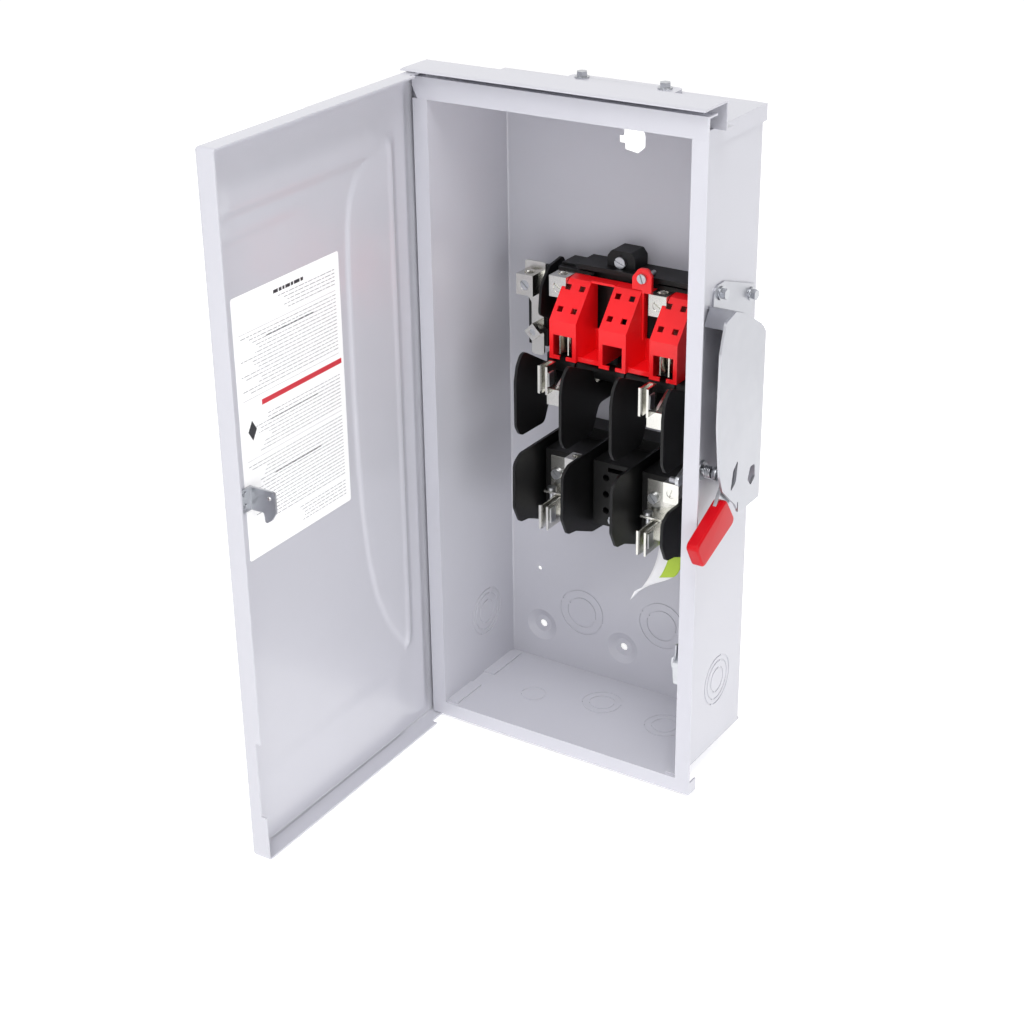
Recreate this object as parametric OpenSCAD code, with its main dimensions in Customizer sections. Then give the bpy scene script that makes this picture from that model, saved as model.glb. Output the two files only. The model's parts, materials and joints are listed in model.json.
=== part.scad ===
// Fused disconnect switch: wall-mounted sheet-steel enclosure with a hinged door,
// a two-pole blade switch with a shielded line side, fuse clips, and a side handle.
// Local axes: +X to the right, +Z up, the door at -Y and the wall at +Y.

/* [Enclosure] */
// Outside width between the side walls
box_w = 235; // [225:1:245]
// Depth from the back wall to the face of the front flanges
box_d = 115; // [110:1:120]
// Height from the floor to the top of the cap
box_h = 544; // [535:1:550]
// Thickness of the steel sheet
sheet = 1.5; // [1.2:0.1:1.6]
// Width of each front flange outside its side wall
flange_w = 12; // [10:1:13]
// How far the mounting dimples stand behind the back wall
standoff = 3; // [2:0.5:5]
// Height of the lower mounting holes above the floor
mount_z = 35; // [30:1:40]
// Distance from the centre mounting hole to each outer one
mount_pitch = 85; // [80:1:88]
// Radius of the mounting holes
mount_r = 3.6; // [3:0.1:4.5]

/* [Door] */
// Angle at which the door stands open
door_open = 89; // [60:1:95]
// Depth of the folded rim of the door
rim_d = 17.5; // [15:0.5:19]
// Radius of the two hinge pins
pin_r = 2; // [1.5:0.1:2.2]

/* [Switch] */
// Distance between neighbouring poles
pole_pitch = 46.5; // [45:0.5:48]
// Thickness of the insulating barriers
barrier_t = 2.5; // [2:0.1:3]
// Gap between the leaves of a fuse clip or jaw
blade_gap = 3.4; // [3.2:0.1:3.8]
// Thickness of a moving contact blade
blade_t = 2.4; // [2:0.1:2.5]
// Reach of a moving blade from the rotor axis
blade_reach = 33; // [30:0.5:34]

/* [Handle] */
// Distance of the guard plate from the side wall
guard_gap = 22.5; // [21:0.5:24]
// Thickness of the guard plate
guard_t = 2; // [1.5:0.1:2.5]
// Thickness of the handle lever
lever_t = 3; // [2:0.1:3.2]
// Radius of the operating shaft
shaft_r = 6; // [5:0.5:6.5]

/* [Hidden] */
$fn = 48;
eps = 0.01;
fit_gap = 0.06;
bend = 3;
half_w = box_w / 2;
wall_in = half_w - sheet;
flange_x = half_w + flange_w;
cap_z = box_h - sheet;
head_z = box_h + 16;
hood_z = head_z + 4.5;
lip_z = -12.7;

hinge_x = -127;
hinge_y = -111;
door_back = -116.5;
door_front = door_back - sheet;
door_low = -15;
door_high = head_z + 3.6;
door_left = -131.8;
door_right = 131.5;

poles = [for (i = [0:2]) -23 + i * pole_pitch];
live_poles = [poles[0], poles[2]];
barrier_x = [for (i = [0:3]) poles[0] - 23.25 + i * pole_pitch];
base_front = -22;
pad_front = -28;
terminal_shift = -17;
rotor_y = -46;
rotor_z = 318;
rotor_r = 7;
blade_off = -29.3;
line_lug = [16, 16, 18];
lug_z = 383;
load_lug_z = 238.5;
pedestal_front = -60;

guard_x = half_w + guard_gap;
lever_x = guard_x - 2.2 - lever_t;
dog_y = -88;
dog_z = 272;
dog_pin_r = 3;
hook_x = 103;

paint = "#c9c9d1";
red = "#d8141c";
black = "#1d1d1f";
tin = "#c8c8c4";
zinc = "#b4b6ba";
copper = "#b8734a";
white = "#f2f2f0";
lime = "#b7d333";

// ---- helpers ----

// The frame origin is the rear mouth of the centre mounting hole
module place() {
    translate([0, -standoff, -mount_z]) children();
}

function unit(v) = v / norm(v);

// Points of a round corner at p, between its neighbours a and b
function corner(a, p, b, r, n) =
    r == 0 ? [p] :
    let (u = unit(a - p))
    let (v = unit(b - p))
    let (half = acos(u * v) / 2)
    let (centre = p + unit(u + v) * r / sin(half))
    let (start = p + u * r / tan(half) - centre)
    let (turn = -sign(cross(u, v)) * (180 - 2 * half))
    [for (i = [0:n]) let (t = turn * i / n)
        centre + [start.x * cos(t) - start.y * sin(t), start.x * sin(t) + start.y * cos(t)]];

// A closed outline with its corners rounded; r is one radius or one for each corner
function rounded(pts, r, n = 5) =
    let (m = len(pts))
    [for (i = [0:m - 1])
        each corner(pts[(i + m - 1) % m], pts[i], pts[(i + 1) % m], is_list(r) ? r[i] : r, n)];

// A plate whose outline lies in the YZ plane, from x to x + t
module plate_yz(x, t, pts) {
    translate([x, 0, 0]) rotate([90, 0, 90]) linear_extrude(t) polygon(pts);
}

// A plate whose outline lies in the XZ plane, from y back to y + t
module plate_xz(y, t, pts) {
    translate([0, y + t, 0]) rotate([90, 0, 0]) linear_extrude(t) polygon(pts);
}

// A box between two corners
module block(low, high) {
    translate(low) cube(high - low);
}

module rod_x(x, y, z, r, length) {
    translate([x, y, z]) rotate([0, 90, 0]) cylinder(r = r, h = length);
}

module rod_y(x, y, z, r, length) {
    translate([x, y, z]) rotate([-90, 0, 0]) cylinder(r = r, h = length);
}

module rod_z(x, y, z, r, length) {
    translate([x, y, z]) cylinder(r = r, h = length);
}

// Slotted pan-head screw along Y: head in front of y, shank behind it
module slotted_screw(x, y, z, head_r, head_h, shank_r, shank_l, turn = 20) {
    slot_w = head_r / 4;
    difference() {
        rod_y(x, y - head_h, z, head_r, head_h);
        translate([x, y - head_h, z]) rotate([0, turn, 0])
            cube([2 * head_r + 1, head_h, slot_w], center = true);
    }
    rod_y(x, y, z, shank_r, shank_l);
}

// Hexagon washer-head bolt along +X from the face at x, shank going inward
module hex_bolt_x(x, y, z, r, shank_l) {
    rod_x(x, y, z, r * 1.25, 1.2);
    translate([x + 1.2, y, z]) rotate([0, 90, 0]) cylinder(r = r, h = 4, $fn = 6);
    rod_x(x - shank_l, y, z, r * 0.5, shank_l);
}

// Ring groove 0.6 deep in a face, with its axis on Z and its floor at z = 0
module ring_groove(r) {
    groove_w = 1.4;
    difference() {
        cylinder(r = r + groove_w / 2, h = 0.6 + eps);
        translate([0, 0, -eps]) cylinder(r = r - groove_w / 2, h = 1);
        for (a = [20, 200]) rotate([0, 0, a]) translate([r, 0, 0]) cube([4, 3, 3], center = true);
    }
}

// Knock-out: one ring groove for each conduit size
module knockout(radii) {
    for (r = radii) ring_groove(r);
}

// ---- enclosure ----

// Plan of the folded wrap: back, two sides and the outward front flanges
module wrap_plan() {
    difference() {
        polygon(rounded([[-half_w, -box_d], [-half_w, 0], [half_w, 0], [half_w, -box_d]],
            [0, bend, bend, 0]));
        polygon(rounded([[-wall_in, -box_d - 1], [-wall_in, -sheet], [wall_in, -sheet],
            [wall_in, -box_d - 1]], [0, bend - sheet, bend - sheet, 0]));
    }
    for (side = [-1, 1])
        translate([side * (flange_x + wall_in) / 2, -box_d + sheet / 2])
            square([flange_x - wall_in, sheet], center = true);
}

mount_xs = [-mount_pitch, 0, mount_pitch];

module dimple(x) {
    translate([x, -sheet, mount_z]) rotate([-90, 0, 0])
        cylinder(r1 = 17, r2 = 10, h = sheet + standoff);
}

module dimple_hollow(x) {
    translate([x, -sheet - eps, mount_z]) rotate([-90, 0, 0])
        cylinder(r1 = 15.5, r2 = 8.5, h = standoff + eps);
    rod_y(x, -sheet, mount_z, mount_r, sheet + standoff + 1);
}

// Keyhole that the enclosure hangs on: round top, level foot with one cut corner
module hanging_keyhole() {
    plate_xz(-sheet - 1, sheet + 2, rounded([[-4, 492], [8, 490], [15, 496], [15, 512], [-5, 512],
        [-5, 503], [-9, 503], [-9, 497], [-4, 497]], [1, 2, 3, 8, 4, 1, 1, 1, 1]));
}

module back_knockouts() {
    for (place_xz = [[-42, 60], [40, 69.6]])
        translate([place_xz[0], -sheet, place_xz[1]]) rotate([-90, 0, 0]) {
            knockout([14.5, 22]);
        }
}

module side_knockouts() {
    for (side = [-1, 1]) {
        translate([side * wall_in, -46, 61]) rotate([0, side * 90, 0]) knockout([11, 17.5, 22]);
        translate([side * half_w, -46, 61]) rotate([0, -side * 90, 0]) knockout([11, 17.5, 22]);
    }
}

module weld_tab(side, y, length) {
    tab_w = 11;
    translate([side * (wall_in - tab_w / 2), y + length / 2, sheet / 2])
        cube([tab_w, length, sheet], center = true);
}

// Back, sides and front flanges of the enclosure before they are divided at the bends
module wrapped_sheet() {
    difference() {
        union() {
            linear_extrude(cap_z) wrap_plan();
            for (x = mount_xs) dimple(x);
        }
        for (x = mount_xs) dimple_hollow(x);
        hanging_keyhole();
        back_knockouts();
        side_knockouts();
        rod_y(-87, -sheet - 1, 93, 2, sheet + 2);
        rod_x(wall_in - 1, rotor_y, rotor_z, 10, sheet + 2);
        rod_x(wall_in - 1, dog_y, dog_z, 5, sheet + 2);
        for (hole = guard_bolt_places) rod_x(wall_in - 1, hole.x, hole.y, 2.2, sheet + 2);
    }
    for (side = [-1, 1]) {
        weld_tab(side, -112, 38);
        weld_tab(side, -52, 46);
    }
}

back_half = half_w - bend;

module back_sheet() {
    color(paint) place()
        intersection() {
            wrapped_sheet();
            block([-back_half, -bend, -1], [back_half, standoff + 1, box_h]);
        }
}

// Side sheet on one side, from its front flange to the bend that meets the back sheet
module side_sheet(side) {
    outer = flange_x + 1;
    intersection() {
        wrapped_sheet();
        union() {
            block([min(0, side * outer), -box_d - 1, -1], [max(0, side * outer), -bend, box_h]);
            block([min(side * back_half, side * outer), -bend - eps, -1],
                [max(side * back_half, side * outer), standoff, box_h]);
        }
    }
}

module left_side() {
    color(paint) place() side_sheet(-1);
}

module right_side() {
    color(paint) place() side_sheet(1);
}

// Floor sheet with its folded front lip and the ear that holds the lower hinge pin
module bottom_plate() {
    color(paint) place() {
        difference() {
            block([-half_w, -box_d, -sheet], [half_w, 0, 0]);
            translate([0, 0, -0.6]) {
                translate([3, -42, 0]) knockout([11, 17.5]);
                translate([-57, -61, 0]) knockout([11]);
                translate([69, -47, 0]) knockout([11, 17.5]);
            }
            for (spot = [[3, -42], [-57, -61], [69, -47]])
                translate([spot.x, spot.y, -sheet - eps]) knockout([11]);
        }
        block([-flange_x, -box_d, lip_z], [flange_x, -box_d + sheet, -eps]);
        difference() {
            block([-flange_x, -box_d, lip_z], [-flange_x + 22, hinge_y + 2, lip_z + sheet]);
            rod_z(hinge_x, hinge_y, lip_z - 1, pin_r, 4);
            block([-flange_x + 8, hinge_y + 1.2, lip_z - 1], [-flange_x + 30, -90, 0]);
            block([-flange_x - 1, hinge_y + 1.8, lip_z - 1], [-flange_x + 30, -90, 0]);
        }
        block([flange_x - sheet, -box_d, lip_z], [flange_x, -box_d + 12, lip_z + 11]);
    }
}

// Cap: top sheet with flanges turned down outside the walls
module top_cap() {
    flange_low = box_h - 13.3;
    color(paint) place() {
        block([-half_w - sheet, -box_d + sheet, cap_z], [half_w + sheet, sheet, box_h]);
        for (side = [-1, 1])
            translate([side * (half_w + sheet / 2), (-box_d + 4 + sheet) / 2, (flange_low + cap_z) / 2 + eps / 2])
                cube([sheet, box_d - 4 + sheet, cap_z - flange_low + eps], center = true);
        block([-half_w + bend, 0, flange_low], [half_w - bend, sheet, cap_z + eps]);
    }
}

// Channel across the head of the opening, which the top of the door laps over
module header_channel() {
    return_back = -box_d + 13;
    color(paint) place() {
        difference() {
            block([-flange_x, -box_d, cap_z], [flange_x, -box_d + sheet, head_z]);
            plate_xz(-box_d - 1, sheet + 2, [[-flange_x - 1, cap_z - 1], [-flange_x + 5, cap_z - 1],
                [-flange_x - 1, cap_z + 12]]);
        }
        difference() {
            block([-flange_x, -box_d + sheet - eps, head_z - sheet], [flange_x, return_back, head_z]);
            rod_z(hinge_x, hinge_y, head_z - 4, pin_r, 8);
            block([-flange_x - 1, hinge_y + 1.8, head_z - 4], [-half_w - 3, return_back + 1, head_z + 1]);
        }
    }
}

// Hood that sheds rain over the door: bevelled front, flat top, riser and foot
module drip_hood() {
    top = hood_z + sheet;
    color(paint) place()
        plate_yz(-flange_x - 6, 2 * flange_x + 6, [[-122, hood_z], [-121.4, hood_z + 0.9], [-117, top], [-86, top],
            [-86, box_h + sheet], [-76, box_h + sheet], [-76, box_h], [-87.5, box_h],
            [-87.5, hood_z], [-117, hood_z], [-119, hood_z - 0.3]]);
}

hub_screw_places = [for (x = [-37.5, 37.5]) for (y = [-62, -12]) [x, y]];

// Plate that closes the conduit hub opening in the cap
module hub_closing_plate() {
    color(paint) place()
        difference() {
            translate([0, 0, box_h])
                linear_extrude(4) polygon(rounded([[-50, -74], [-50, -3], [50, -3], [50, -74]], 6));
            for (spot = hub_screw_places) rod_z(spot.x, spot.y, box_h - 1, 2, 8);
            block([52, -20, box_h], [60, -8, box_h + 8]);
        }
}

module hub_plate_screws() {
    color(zinc) place()
        for (spot = hub_screw_places) {
            rod_z(spot.x, spot.y, box_h + 4, 6, 1.2);
            translate([spot.x, spot.y, box_h + 5.2]) cylinder(r = 4.6, h = 4, $fn = 6);
            rod_z(spot.x, spot.y, box_h, 2, 4);
        }
}

module hinge_pins() {
    color(zinc) place() {
        rod_z(hinge_x, hinge_y, head_z - 4, pin_r, 8.3);
        rod_z(hinge_x, hinge_y, door_low - 1, pin_r, 8);
    }
}

// ---- line side ----

// Moulded base of the switch, with terminal pads and a top ear for its screw
module switch_base() {
    color(black) place()
        difference() {
            union() {
                block([-50, base_front, 286], [96, -sheet, 396]);
                block([-32, -30, 396 - eps], [96, -sheet, 400]);
                plate_xz(base_front, 20.5, rounded([[-7, 399], [19, 399], [19, 409], [15, 414], [-3, 414],
                    [-7, 409]], [0, 0, 2, 2, 2, 2]));
                for (x = live_poles) block([x - 27, pad_front, 332], [x + 7, base_front + eps, 394]);
                block([poles[1] - 27, pad_front, 340], [poles[1] + 7, base_front + eps, 388]);
            }
            for (x = poles) block([x - 20, -26, 300], [x + 14, base_front + 12, 326]);
            block([poles[1] - 20, pad_front - 1, 350], [poles[1], base_front + 8, 380]);
            rod_y(6, base_front - 1, 405, 2.5, 24);
        }
}

module base_screws() {
    color(zinc) place() slotted_screw(6, base_front, 405, 4.8, 3, 2.5, 18);
}

// Outline of a shield hood seen from the side; inset moves it inward by the wall
function hood_outline(inset) = [
    [-31, 392 - inset], [-41, 392 - inset - 1], [-66 + inset, 362 - inset], [-66 + inset, 329 - inset / 4],
    [-31, 329 - inset / 4]
];

module shield_hood(x) {
    hood_w = 25;
    wall = 1.6;
    window_w = 18;
    slope = atan2(29, 25);
    difference() {
        plate_yz(x - hood_w / 2, hood_w, hood_outline(0));
        plate_yz(x - hood_w / 2 + wall, hood_w - 2 * wall, concat(hood_outline(wall), [[-30, 327]]));
        block([x - hood_w / 2 + wall, -65, 327], [x + hood_w / 2 - wall, -30, 331]);
        block([x - window_w / 2, -67, 332], [x + window_w / 2, -62, 350]);
        block([x - 3, -67, 327], [x + 3, -60, 333]);
        for (dx = [-6.5, 6.5]) for (along = [0.2, 0.72])
            translate([x + dx, -41 - 25 * along, 391 - 29 * along]) rotate([slope, 0, 0])
                cube([5, 5, 12], center = true);
    }
}

// Moulded shield over the line terminals: three hoods joined by a top and a bottom ledge
module line_shield() {
    color(red) place()
        difference() {
            shield_body();
            for (x = live_poles)
                block([x + terminal_shift - 8.4, -46.4, 373.5], [x + terminal_shift + 8.4, -30, 411]);
        }
}

module shield_body() {
    for (x = poles) shield_hood(x);
    for (i = [0:1]) {
        left = poles[i] + 12.5 - eps;
        right = poles[i + 1] - 12.5 + eps;
        block([left, -41, 390], [right, -31, 392]);
        block([left, -34, 330], [right, -32.4, 349]);
        block([left, -62, 329], [right, -32.4, 330.6]);
        block([left, -62, 329], [right, -60.4, 333]);
    }
    difference() {
        plate_xz(-41, 3, rounded([[27, 391.9], [46, 391.9], [46, 402], [41, 410], [33, 410], [27, 402]],
            [0, 0, 4, 4, 4, 4]));
        rod_y(36.5, -42, 402, 2.2, 6);
    }
    block([36.2, -41, 350], [38, -38, 391.95]);
}

module shield_screw() {
    color(zinc) place() slotted_screw(36.5, -41, 402, 4, 2.4, 1.9, 19, 70);
}

// Box lug with a wire bore along Z and a set-screw hole in front
module box_lug(x, z, size, back_y) {
    difference() {
        block([x - size.x / 2, back_y - size.y, z - size.z / 2], [x + size.x / 2, back_y, z + size.z / 2]);
        rod_z(x, back_y - size.y * 0.42, z - size.z, size.x * 0.27, 2 * size.z);
        rod_y(x, back_y - size.y - 1, z, size.x * 0.27, size.y * 0.3 + 1);
    }
}

// Set screw of a box lug, its slotted end just below the face
module lug_screw(x, z, size, back_y, turn) {
    r = size.x * 0.27 - 0.02;
    front = back_y - size.y + 0.5;
    length = size.y * 0.3 - 0.5;
    difference() {
        rod_y(x, front, z, r, length);
        translate([x, front, z]) rotate([0, turn, 0]) cube([3 * r, 2.4, 1.3], center = true);
    }
}

lug_back = pad_front - 2;

module line_lug_left() {
    color(tin) place() box_lug(poles[0] + terminal_shift, lug_z, line_lug, lug_back);
}

module line_lug_right() {
    color(tin) place() box_lug(poles[2] + terminal_shift, lug_z, line_lug, lug_back);
}

module line_lug_screws() {
    color(tin) place()
        for (x = live_poles) lug_screw(x + terminal_shift, lug_z, line_lug, lug_back, 35);
}

// Line contact: strap on its pad, and two flared leaves that the blade enters
module contact_jaw(x) {
    leaf_t = 1.2;
    block([x - 25, lug_back, 334], [x + 5, pad_front, 392]);
    block([x - 5, -36, 334], [x + 5, lug_back + eps, 352]);
    for (side = [-1, 1]) {
        near = side * blade_gap / 2;
        far = near + side * leaf_t;
        low = min(near, far);
        block([x + low, -58, 333], [x + low + leaf_t, -36 + eps, 352]);
        translate([x, 0, 333]) linear_extrude(19)
            polygon([[near, -58 + eps], [far, -58 + eps], [far + side * 1.6, -63.5], [near + side * 1.6, -63.5]]);
    }
}

module contact_jaw_left() {
    color(copper) place() contact_jaw(poles[0]);
}

module contact_jaw_right() {
    color(copper) place() contact_jaw(poles[2]);
}

// ---- fuse side ----

function upper_barrier_outline(cut) = rounded([[base_front, 302], [-62, 324], [-97 + cut, 339 + cut / 3],
    [-105 + cut, 330], [-108 + cut, 317], [-108 + cut, 278], [-102 + cut, 268], [-59, 267], [-48, 290],
    [base_front, 290]], [0, 8, 7, 10, 10, 8, 8, 6, 8, 0]);

// Upper insulating barriers, notched for the rotor shaft
module upper_barriers() {
    color(black) place()
        for (i = [0:3])
            difference() {
                plate_yz(barrier_x[i] - barrier_t / 2, barrier_t, upper_barrier_outline(i == 0 ? 6 : 0));
                rod_x(barrier_x[i] - 5, rotor_y, rotor_z, rotor_r + 3, 10);
            }
}

// Two clip leaves side by side, from the open front back to their web
module clip_leaves(x, front, back, low, high) {
    leaf_t = 2;
    for (side = [-1, 1]) {
        near = side * blade_gap / 2;
        far = near + side * leaf_t;
        translate([x, 0, low]) linear_extrude(high - low)
            polygon([[near, back], [far, back], [far, front + 2], [far + side * 0.9, front],
                [near + side * 0.9, front], [near, front + 2]]);
    }
    half = blade_gap / 2 + leaf_t;
    block([x - half, back - eps, low], [x + half, back + 2, high]);
}

module upper_clip(x) {
    clip_leaves(x, -97, -84, 310, 334);
    block([x - 4, -84, 296], [x + 10, -82, 310 + eps]);
    block([x + 8, -82 - eps, 296], [x + 10, base_front, 309]);
    block([x + 8, base_front - 2, 296], [x + 22, base_front, 309]);
}

module upper_clip_left() {
    color(tin) place() upper_clip(poles[0]);
}

module upper_clip_right() {
    color(tin) place() upper_clip(poles[2]);
}

// Steel spring bow round the leaves of a clip
module spring_bow(x, y, low, high) {
    inner = blade_gap / 2 + 2;
    outer = inner + 0.8;
    translate([x, 0, low]) linear_extrude(high - low)
        polygon([[-outer, y], [-outer, y + 8], [-inner, y + 8], [-inner, y]]);
    translate([x, 0, low]) linear_extrude(high - low)
        polygon([[outer, y], [outer, y + 8], [inner, y + 8], [inner, y]]);
}

module clip_springs() {
    color(zinc) place()
        for (x = live_poles) {
            spring_bow(x, -94, 316, 328);
            spring_bow(x, -92, 193, 206);
        }
}

// Outline of a lower barrier whose level top is at the given height
function lower_barrier_outline(top) = rounded([[base_front + 1, top], [-95, top], [-105, top - 6],
    [-106, 206], [-98, 190], [-85, 188], [-58, 176], [base_front + 1, 173]], [0, 10, 8, 8, 6, 10, 14, 0]);

// Moulded load base: back, a pedestal for each pole and four barriers in one piece
module load_base() {
    color(black) place()
        difference() {
            union() {
                block([-50, base_front, 173], [96, -sheet, 254]);
                for (x = poles) block([x - 20, pedestal_front, 186], [x + 22, base_front + eps, 244]);
                for (i = [0:3])
                    plate_yz(barrier_x[i] - barrier_t / 2, barrier_t,
                        lower_barrier_outline(i == 3 ? 232 : 252));
            }
            for (z = [200, 215, 230]) for (dx = [-8, 8])
                rod_y(poles[1] + dx, pedestal_front - 1, z, 3, 14);
            block([poles[1] - 6, pedestal_front - 1, 236], [poles[1] + 12, pedestal_front + 10, 240]);
            for (x = live_poles) rod_y(x - 8, pedestal_front - 1, 224, 2.5, 18);
            rod_y(poles[1], pedestal_front - 1, 193, 2.5, 60);
        }
}

module load_base_screws() {
    color(zinc) place() slotted_screw(poles[1], pedestal_front, 193, 4.5, 2.6, 2.5, 56);
}

module lower_clip(x) {
    clip_leaves(x, -97, -66, 188, 209.7);
}

module lower_clip_left() {
    color(tin) place() lower_clip(poles[0]);
}

module lower_clip_right() {
    color(tin) place() lower_clip(poles[2]);
}

// Plate that joins the lower clip to its load lug, with an outward shelf
module terminal_plate(x) {
    difference() {
        block([x - 14, -62, 186], [x + 22, -60, 240]);
        rod_y(x - 8, -63, 224, 2.5, 4);
    }
    block([x - 14, -64, 186], [x + 6, -62 + eps, 212]);
    difference() {
        block([x - 14, -74, 212 - 2], [x + 6, -64 + eps, 212]);
        rod_z(x - 9, -69, 205, 2.2, 10);
    }
}

module terminal_plate_left() {
    color(tin) place() terminal_plate(poles[0]);
}

module terminal_plate_right() {
    color(tin) place() terminal_plate(poles[2]);
}

module terminal_screws() {
    color(zinc) place()
        for (x = live_poles) {
            slotted_screw(x - 8, -62, 224, 4.5, 2.6, 2.5, 18, 50);
            rod_z(x - 9, -69, 212, 4, 2.2);
            rod_z(x - 9, -69, 204, 2.2, 8);
        }
}

load_lug = [14, 14, 18];

module load_lug_left() {
    color(tin) place() box_lug(poles[0] + 15, load_lug_z, load_lug, -62);
}

module load_lug_right() {
    color(tin) place() box_lug(poles[2] + 15, load_lug_z, load_lug, -62);
}

module load_lug_screws() {
    color(tin) place()
        for (x = live_poles) lug_screw(x + 15, load_lug_z, load_lug, -62, 110);
}

// ---- neutral ----

module neutral_base() {
    color(black) place() block([-78, -30, 322], [-59.5, -sheet, 384]);
}

module neutral_strap() {
    color(tin) place()
        plate_xz(-32, 2, rounded([[-74, 314], [-62, 314], [-62, 368], [-60, 396], [-80, 396], [-80, 368],
            [-74, 360]], [3, 3, 4, 2, 2, 4, 4]));
}

neutral_lug = [16, 14, 18];
neutral_tap = [11, 12, 11];

module turned_tap() {
    translate([-66, 0, 338]) rotate([0, 45, 0]) children();
}

module neutral_lugs() {
    color(tin) place() {
        box_lug(-72, 379, neutral_lug, -32);
        turned_tap() box_lug(0, 0, neutral_tap, -32);
    }
}

module neutral_lug_screws() {
    color(zinc) place() {
        lug_screw(-72, 379, neutral_lug, -32, 40);
        turned_tap() lug_screw(0, 0, neutral_tap, -32, 80);
    }
}

// Leaf-shaped barrier between the neutral and the left pole
module neutral_barrier() {
    color(black) place()
        plate_yz(-58.5, barrier_t, rounded([[-sheet, 384], [-11, 397], [-31, 394], [-44, 380], [-47, 356],
            [-28, 346], [-sheet, 376]], [0, 4, 6, 8, 6, 6, 0]));
}

// ---- rotor ----

bearing_spans = [[-43.5, -38], [85, 91]];

module rotor_bearings() {
    color(black) place()
        for (span = bearing_spans)
            difference() {
                block([span[0], -57, 309.3], [span[1], base_front, 329]);
                rod_x(span[0] - 1, rotor_y, rotor_z, rotor_r + fit_gap, 10);
            }
}

// Contact blade pointing down and forward in the off position
module blade(x) {
    width = 12;
    translate([x, rotor_y, rotor_z]) rotate([-blade_off, 0, 0])
        plate_yz(-blade_t / 2, blade_t, rounded([[-6.5, -width / 2], [-blade_reach, -width / 2],
            [-blade_reach, width / 2], [-6.5, width / 2]], [0, 4, 4, 0]));
}

// Insulating crossbar that carries the blades, with a drive tang at its right end
module rotor_shaft() {
    color(black) place() {
        difference() {
            union() {
                rod_x(-44, rotor_y, rotor_z, rotor_r, 144);
                for (x = poles) rod_x(x - 5, rotor_y, rotor_z, 10, 10);
            }
            for (x = live_poles) blade(x);
        }
        translate([102 - eps, rotor_y, rotor_z]) cube([4, 9, 4], center = true);
    }
}

module blade_left() {
    color(copper) place() blade(poles[0]);
}

module blade_right() {
    color(copper) place() blade(poles[2]);
}

// ---- handle ----

module handle_bush() {
    color(zinc) place()
        difference() {
            union() {
                rod_x(wall_in, rotor_y, rotor_z, 9.9, sheet + 4);
                rod_x(half_w, rotor_y, rotor_z, 12.2, 4);
                rod_x(wall_in - 4, rotor_y, rotor_z, 13, 4);
            }
            rod_x(wall_in - 5, rotor_y, rotor_z, shaft_r + fit_gap, 12);
        }
}

// Close-wound spring that drives the quick make and break
module operating_spring() {
    wire_r = 1;
    coil_r = 11;
    color(zinc) place()
        for (turn = [0:3])
            translate([wall_in - 5.2 - 2.2 * turn, rotor_y, rotor_z]) rotate([0, 90, 0])
                rotate_extrude() translate([coil_r, 0]) circle(r = wire_r, $fn = 16);
}

// Shaft through the wall: slotted drive collar inside, hub for the lever outside
module handle_shaft() {
    hub_x = half_w + 4.5;
    color(zinc) place()
        difference() {
            union() {
                rod_x(100.5, rotor_y, rotor_z, shaft_r, lever_x - 100.5);
                rod_x(100.5, rotor_y, rotor_z, 8.5, 4.5);
                rod_x(hub_x, rotor_y, rotor_z, 11, lever_x - hub_x);
            }
            translate([100, rotor_y, rotor_z]) cube([8.8, 24, 5], center = true);
        }
}

grip_corners = [[-91, 254], [-74, 229], [-127, 209], [-140, 231]];
grip_mid = (grip_corners[0] + grip_corners[1] + grip_corners[2] + grip_corners[3]) / 4;

// Lever: round hub end and a tapering arm that runs into the grip
module lever_shape() {
    plate_yz(lever_x, lever_t, rounded([[rotor_y + 10, rotor_z + 11], [rotor_y - 10, rotor_z + 11],
        [-84, 270], [-112, 234], [-104, 226], [-78, 243], [rotor_y + 11, rotor_z - 8]],
        [9, 9, 14, 5, 5, 14, 9]));
}

module handle_lever() {
    color(zinc) place() lever_shape();
}

// Moulded grip: a paddle with bevelled faces, slotted for the lever
module handle_grip() {
    inner_x = 132;
    outer_x = 143;
    bevel = 3;
    color(red) place()
        difference() {
            union() {
                plate_yz(inner_x + bevel, outer_x - inner_x - 2 * bevel, rounded(grip_corners, 5));
                for (step = [0:2]) {
                    shrink = 1 - (step + 1) * 0.028;
                    depth = bevel / 3 + eps;
                    core = [for (p = grip_corners) grip_mid + (p - grip_mid) * shrink];
                    plate_yz(outer_x - bevel + step * bevel / 3 - eps, depth, rounded(core, 5));
                    plate_yz(inner_x + bevel - (step + 1) * bevel / 3, depth, rounded(core, 5));
                }
            }
            lever_shape();
        }
}

guard_bolt_places = [[-66, 412], [-14, 396], [-24, 250]];
guard_outline = [[-85, 407], [-67, 400], [-37, 381], [-32, 375], [-32, 233], [-68, 233], [-75, 243],
    [-98, 263], [-103, 277], [-109, 320], [-108, 380], [-101, 403]];

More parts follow.
